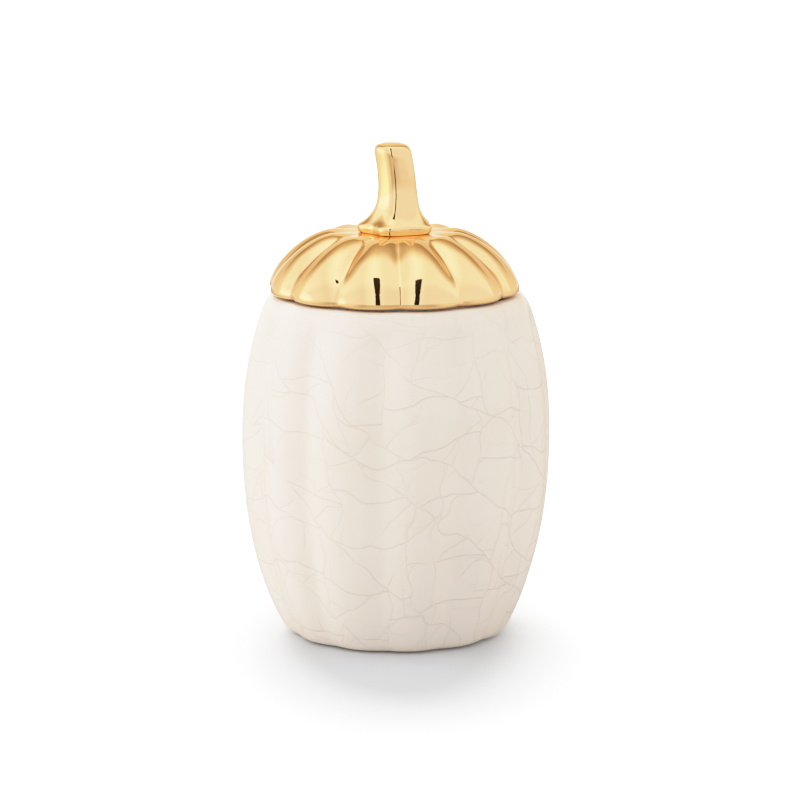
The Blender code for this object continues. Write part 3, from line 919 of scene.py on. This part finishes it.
def paper_material():
    """Uncoated label paper: short fibres show as a faint mottle."""
    made, tree, shader = new_material("uncoated label paper")
    place = add(tree, "ShaderNodeTexCoord").outputs["Object"]
    fibre = {"Vector": place, "Scale": 1600.0, "Detail": 5.0, "Distortion": 1.5}
    fibre = add(tree, "ShaderNodeTexNoise", fibre)
    tone = {"Fac": fibre.outputs[0], "Color1": linear("#E9E6DE"), "Color2": linear("#FAF8F3")}
    tone = add(tree, "ShaderNodeMixRGB", tone).outputs[0]
    tooth = {"Height": fibre.outputs[0], "Strength": 0.4, "Distance": 0.00004}
    tooth = add(tree, "ShaderNodeBump", tooth).outputs[0]
    feed(tree, shader, {"Base Color": tone, "Roughness": 0.82, "Normal": tooth})
    return made


def tin_material():
    """Tinned sheet steel: faint rolling lines, and a dull bloom in patches."""
    made, tree, shader = new_material("tinned sheet steel")
    place = add(tree, "ShaderNodeTexCoord").outputs["Object"]
    drawn = add(tree, "ShaderNodeMapping", {"Vector": place, "Scale": (0.04, 1.0, 1.0)}).outputs[0]
    lines = add(tree, "ShaderNodeTexNoise", {"Vector": drawn, "Scale": 6000.0, "Detail": 2.0}).outputs[0]
    bloom = add(tree, "ShaderNodeTexNoise", {"Vector": place, "Scale": 220.0, "Detail": 3.0}).outputs[0]
    tone = {"Fac": bloom, "Color1": linear("#BFC0BF"), "Color2": linear("#D6D6D3")}
    tone = add(tree, "ShaderNodeMixRGB", tone).outputs[0]
    rough = {"Value": bloom, "From Min": 0.3, "From Max": 0.7, "To Min": 0.25, "To Max": 0.42}
    rough = add(tree, "ShaderNodeMapRange", rough).outputs[0]
    grain = add(tree, "ShaderNodeBump", {"Height": lines, "Strength": 0.3, "Distance": 0.00002}).outputs[0]
    looks = {"Base Color": tone, "Roughness": rough, "Normal": grain, "Metallic": 1.0}
    feed(tree, shader, looks)
    return made


def foam_material():
    """Closed-cell foam tape: small round cells."""
    made, tree, shader = new_material("white foam tape")
    place = add(tree, "ShaderNodeTexCoord").outputs["Object"]
    cells = add(tree, "ShaderNodeTexVoronoi", {"Vector": place, "Scale": 3500.0}).outputs["Distance"]
    tone = {"Fac": cells, "Color1": linear("#D9D8D2"), "Color2": linear("#F6F5F1")}
    tone = add(tree, "ShaderNodeMixRGB", tone).outputs[0]
    pores = add(tree, "ShaderNodeBump", {"Height": cells, "Strength": 0.7, "Distance": 0.0001}).outputs[0]
    feed(tree, shader, {"Base Color": tone, "Roughness": 0.9, "Normal": pores})
    return made


def plain_material(name, colour, roughness):
    """One even colour, for what surrounds the object."""
    made, tree, shader = new_material(name)
    feed(tree, shader, {"Base Color": linear(colour), "Roughness": roughness})
    return made


def dress(piece, material):
    """Gives a piece this material alone."""
    piece.data.materials.clear()
    piece.data.materials.append(material)


# ---------------------------------------------------------------- stage

CAMERA_DISTANCE = 1.278
CAMERA_RISE = math.radians(10.8)
CAMERA_AIM = Vector((0.0011, 0.0, 0.0722))
CAMERA_LENS = 186.0

FLOOR_SIZE = 16
FLOOR_PLACE = -0.0003
GLOW_HEIGHT = 0.00005

CARD_PLACE = -1.9
# The card's outline in metres, from its foot up: (half width, height).
CARD = ((0.16, -0.05), (0.19, 1.8), (0.85, 6.3))

# The walls' brightness: (how far to the right, from -1 to 1, level).
WALLS = ((-1.0, 1.25), (-0.7, 1.35), (-0.4, 1.55), (-0.1, 1.4), (0.15, 1.28), (0.45, 1.55), (1.0, 1.75))
# The same walls as a mirror shows them: dimmer to the right, with a bright edge on the far left.
MIRROR_WALLS = (
    (-1.0, 2.2),
    (-0.92, 1.35),
    (-0.5, 1.15),
    (-0.3, 1.35),
    (-0.1, 1.5),
    (0.1, 1.35),
    (0.3, 1.18),
    (1.0, 1.22),
)
ROOM_FILL = 0.735
# Mirror reflections see the room a little warmer than the soft light that it gives.
ROOM_WARMTH = (0.97, 0.9, 0.84)

# The room's bands from the front wall over the ceiling to the back wall, and below the horizon at both
# ends: (degrees from straight up towards the back, colour).
ROOM = (
    (-95.0, (0.6, 0.56, 0.48)),
    (-89.0, (1.0, 1.0, 1.02)),
    (-40.0, (1.0, 1.0, 1.02)),
    (-25.0, (1.15, 1.15, 1.15)),
    (4.0, (1.15, 1.15, 1.15)),
    (10.0, (1.04, 1.0, 0.9)),
    (20.0, (0.68, 0.58, 0.43)),
    (32.0, (0.46, 0.36, 0.22)),
    (44.0, (0.4, 0.3, 0.17)),
    (46.0, (0.84, 0.68, 0.48)),
    (65.0, (0.82, 0.69, 0.5)),
    (80.0, (0.86, 0.76, 0.6)),
    (91.0, (1.05, 1.0, 0.95)),
    (97.0, (0.6, 0.56, 0.48)),
)
# How far aside the dim gap reaches, as the X of a unit direction: it fades out between the two.
GAP_WIDTH = (0.5, 0.85)
# The bands bend towards the back by this much for each step aside.
GAP_CURVE = 0.35
# The room is at least this bright beyond the gap's ends.
SIDE_WALLS = (0.95, 0.89, 0.77)


def make_camera():
    """A long lens in front of the jar, a little above it."""
    away = Vector((0, -math.cos(CAMERA_RISE), math.sin(CAMERA_RISE)))
    bpy.ops.object.camera_add(location=CAMERA_AIM + CAMERA_DISTANCE * away)
    camera = bpy.context.active_object
    camera.rotation_euler = away.to_track_quat("Z", "Y").to_euler()
    camera.data.lens = CAMERA_LENS
    camera.data.sensor_width = 36
    bpy.context.scene.camera = camera


def softbox(name, place, target, width, height, radiance):
    """A panel light with an even radiance over its face. Neither the camera nor a reflection shows it."""
    bpy.ops.object.light_add(type="AREA", location=place)
    light = bpy.context.active_object
    light.name = name
    light.rotation_euler = (Vector(place) - Vector(target)).to_track_quat("Z", "Y").to_euler()
    light.data.shape = "RECTANGLE"
    light.data.size = width
    light.data.size_y = height
    light.data.energy = radiance * math.pi * width * height
    light.visible_camera = False
    light.visible_glossy = False


def make_floor():
    """A plain pale floor, which reflections don't show."""
    bpy.ops.mesh.primitive_plane_add(size=FLOOR_SIZE, location=(0, 0, FLOOR_PLACE))
    floor = bpy.context.active_object
    floor.name = "floor"
    dress(floor, plain_material("white sweep", "#CED1D4", 0.9))
    floor.visible_glossy = False


def make_glow():
    """A clear sheet over the floor, which only the camera sees, glows to lift it to white away from the jar:
    painted light, whose oval of no glow sets the shape and fall-off of the jar's shadow.
    """
    bpy.ops.mesh.primitive_plane_add(size=FLOOR_SIZE, location=(0, 0, GLOW_HEIGHT))
    glow = bpy.context.active_object
    glow.name = "floor_glow"
    made, tree, shader = new_material("painted floor glow")
    tree.nodes.remove(shader)
    place = add(tree, "ShaderNodeTexCoord")
    # Painted light: the glow starts at an oval shifted towards the camera and narrowed to the sides, which
    # shapes the shadow in front of the jar.
    oval = {"Vector": place.outputs["Object"], "Location": (0, 0.025, 0), "Scale": (2.0, 1.0, 1.0)}
    oval = add(tree, "ShaderNodeMapping", oval).outputs[0]
    distance = add(tree, "ShaderNodeVectorMath", {0: oval}, operation="LENGTH")
    rise = add(
        tree,
        "ShaderNodeMapRange",
        {"Value": distance.outputs["Value"], "From Min": 0.048, "From Max": 0.155, "To Max": 1.9},
        interpolation_type="SMOOTHSTEP",
    )
    light = add(tree, "ShaderNodeEmission", {"Strength": rise.outputs["Result"]})
    clear = add(tree, "ShaderNodeBsdfTransparent")
    both = add(tree, "ShaderNodeAddShader", {0: light.outputs["Emission"], 1: clear.outputs["BSDF"]})
    tree.links.new(both.outputs["Shader"], tree.nodes["Material Output"].inputs["Surface"])
    dress(glow, made)
    glow.visible_diffuse = False
    glow.visible_glossy = False
    glow.visible_transmission = False
    glow.visible_shadow = False


def make_card():
    """A narrow black card behind the camera, wider at its top, gives the gold its dark lines."""
    bpy.ops.object.select_all(action="DESELECT")
    bpy.ops.mesh.primitive_grid_add(x_subdivisions=1, y_subdivisions=len(CARD) - 1, size=2)
    card = bpy.context.active_object
    card.name = "black_card"
    for vert in card.data.vertices:
        row = round((vert.co.y + 1) / 2 * (len(CARD) - 1))
        half, height = CARD[row]
        vert.co = (math.copysign(half, vert.co.x), CARD_PLACE, height)
    dress(card, plain_material("black card", "#0A0806", 0.9))
    card.visible_camera = False
    card.visible_diffuse = False


def ramp_over(tree, value, stops):
    """A run of colours over a value: each stop is (position from 0 to 1, colour)."""
    ramp = add(tree, "ShaderNodeValToRGB", {"Fac": value})
    elements = ramp.color_ramp.elements
    elements.remove(elements[1])
    for position, colour in stops:
        elements.new(position).color = (*colour, 1)
    elements.remove(elements[0])
    return ramp.outputs["Color"]


def walls_over(tree, across, walls):
    """The walls' brightness over a value that runs from 0 at the left to 1 at the right."""
    return ramp_over(tree, across, [((x + 1) / 2, (level, level, level)) for x, level in walls])


def product(tree, one, other):
    """Two colours multiplied."""
    both = {0: one, 1: other}
    return add(tree, "ShaderNodeVectorMath", both, operation="MULTIPLY").outputs["Vector"]


def make_world():
    """A white room with a dim warm gap between its ceiling and its back wall.

    Mirror reflections get their own walls, so that the gold and the soft light are set apart.
    """
    world = bpy.data.worlds.new("white studio")
    bpy.context.scene.world = world
    world.use_nodes = True
    tree = world.node_tree
    background = tree.nodes["Background"]
    place = add(tree, "ShaderNodeTexCoord")
    split = add(tree, "ShaderNodeSeparateXYZ", {"Vector": place.outputs["Generated"]})
    across = {"Value": split.outputs["X"], "From Min": -1.0}
    across = add(tree, "ShaderNodeMapRange", across).outputs["Result"]
    aside = add(tree, "ShaderNodeMath", {0: split.outputs["X"]}, operation="ABSOLUTE")
    back = {0: aside.outputs["Value"], 1: -GAP_CURVE, 2: split.outputs["Y"]}
    back = add(tree, "ShaderNodeMath", back, operation="MULTIPLY_ADD")
    pitch = {0: back.outputs["Value"], 1: split.outputs["Z"]}
    pitch = add(tree, "ShaderNodeMath", pitch, operation="ARCTAN2")
    over = {"Value": pitch.outputs["Value"], "From Min": -math.pi, "From Max": math.pi}
    over = add(tree, "ShaderNodeMapRange", over).outputs["Result"]
    room = ramp_over(tree, over, [(0.5 + degrees / 360, colour) for degrees, colour in ROOM])
    beside = {"Value": aside.outputs["Value"], "From Min": GAP_WIDTH[0], "From Max": GAP_WIDTH[1]}
    beside = add(tree, "ShaderNodeMapRange", beside, interpolation_type="SMOOTHSTEP")
    room = {0: beside.outputs["Result"], 6: room, 7: (*SIDE_WALLS, 1)}
    room = add(tree, "ShaderNodeMix", room, data_type="RGBA", blend_type="LIGHTEN").outputs[2]
    fill = product(tree, walls_over(tree, across, WALLS), (ROOM_FILL, ROOM_FILL, ROOM_FILL))
    mirrored = product(tree, walls_over(tree, across, MIRROR_WALLS), ROOM_WARMTH)
    ray = add(tree, "ShaderNodeLightPath")
    walls = {0: ray.outputs["Is Glossy Ray"], 6: fill, 7: mirrored}
    walls = add(tree, "ShaderNodeMix", walls, data_type="RGBA").outputs[2]
    tree.links.new(product(tree, room, walls), background.inputs["Color"])


def set_response():
    """The camera's response: straight up to the mid tones, with highlights that roll off to white."""
    view = bpy.context.scene.view_settings
    view.view_transform = "Standard"
    view.use_curve_mapping = True
    mapping = view.curve_mapping
    mapping.white_level = (2, 2, 2)
    curve = mapping.curves[3]
    for x, y in ((0.15, 0.3), (0.3, 0.59), (0.5, 0.85), (0.75, 0.95)):
        curve.points.new(x, y)
    mapping.update()


def make_stage():
    """Floor, card, lights, room and the camera's response."""
    make_floor()
    make_glow()
    make_card()
    softbox("left softbox", (-1.35, -0.1, 0.6), (0, 0, 0.05), 1.6, 1.4, 1.6)
    softbox("back softbox", (-0.3, 0.75, 1.1), (0, 0, 0.1), 0.5, 0.5, 16.0)
    make_world()
    set_response()


# ---------------------------------------------------------------- putting it together


def place_piece(piece, body, node):
    """Lets a piece stand for a CAD node and move with a body."""
    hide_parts(node)
    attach(piece, body)


def dressed(piece, material):
    """The piece, in this material alone."""
    dress(piece, material)
    return piece


glaze = glaze_material("crackle glaze over ivory slip", with_cracks=True)
lid_glaze = glaze_material("ivory glaze", with_cracks=False)
gold = gold_material()
place_piece(make_jar(glaze, clay_material()), "jar", "jar")
place_piece(make_lid(gold, lid_glaze), "lid", "lid_shell")
place_piece(dressed(make_stem(), gold), "lid", "stem")
place_piece(dressed(make_seal(), silicone_material()), "seal", "seal_ring")
place_piece(dressed(make_wax(), wax_material()), "jar", "wax_fill")
place_piece(dressed(make_wick(), cotton_material()), "jar", "wick")

for node, material in (
    ("base_label", paper_material()),
    ("wick_tab", tin_material()),
    ("wick_sticker", foam_material()),
):
    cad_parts[node].material_slots[0].material = material

make_stage()
make_camera()
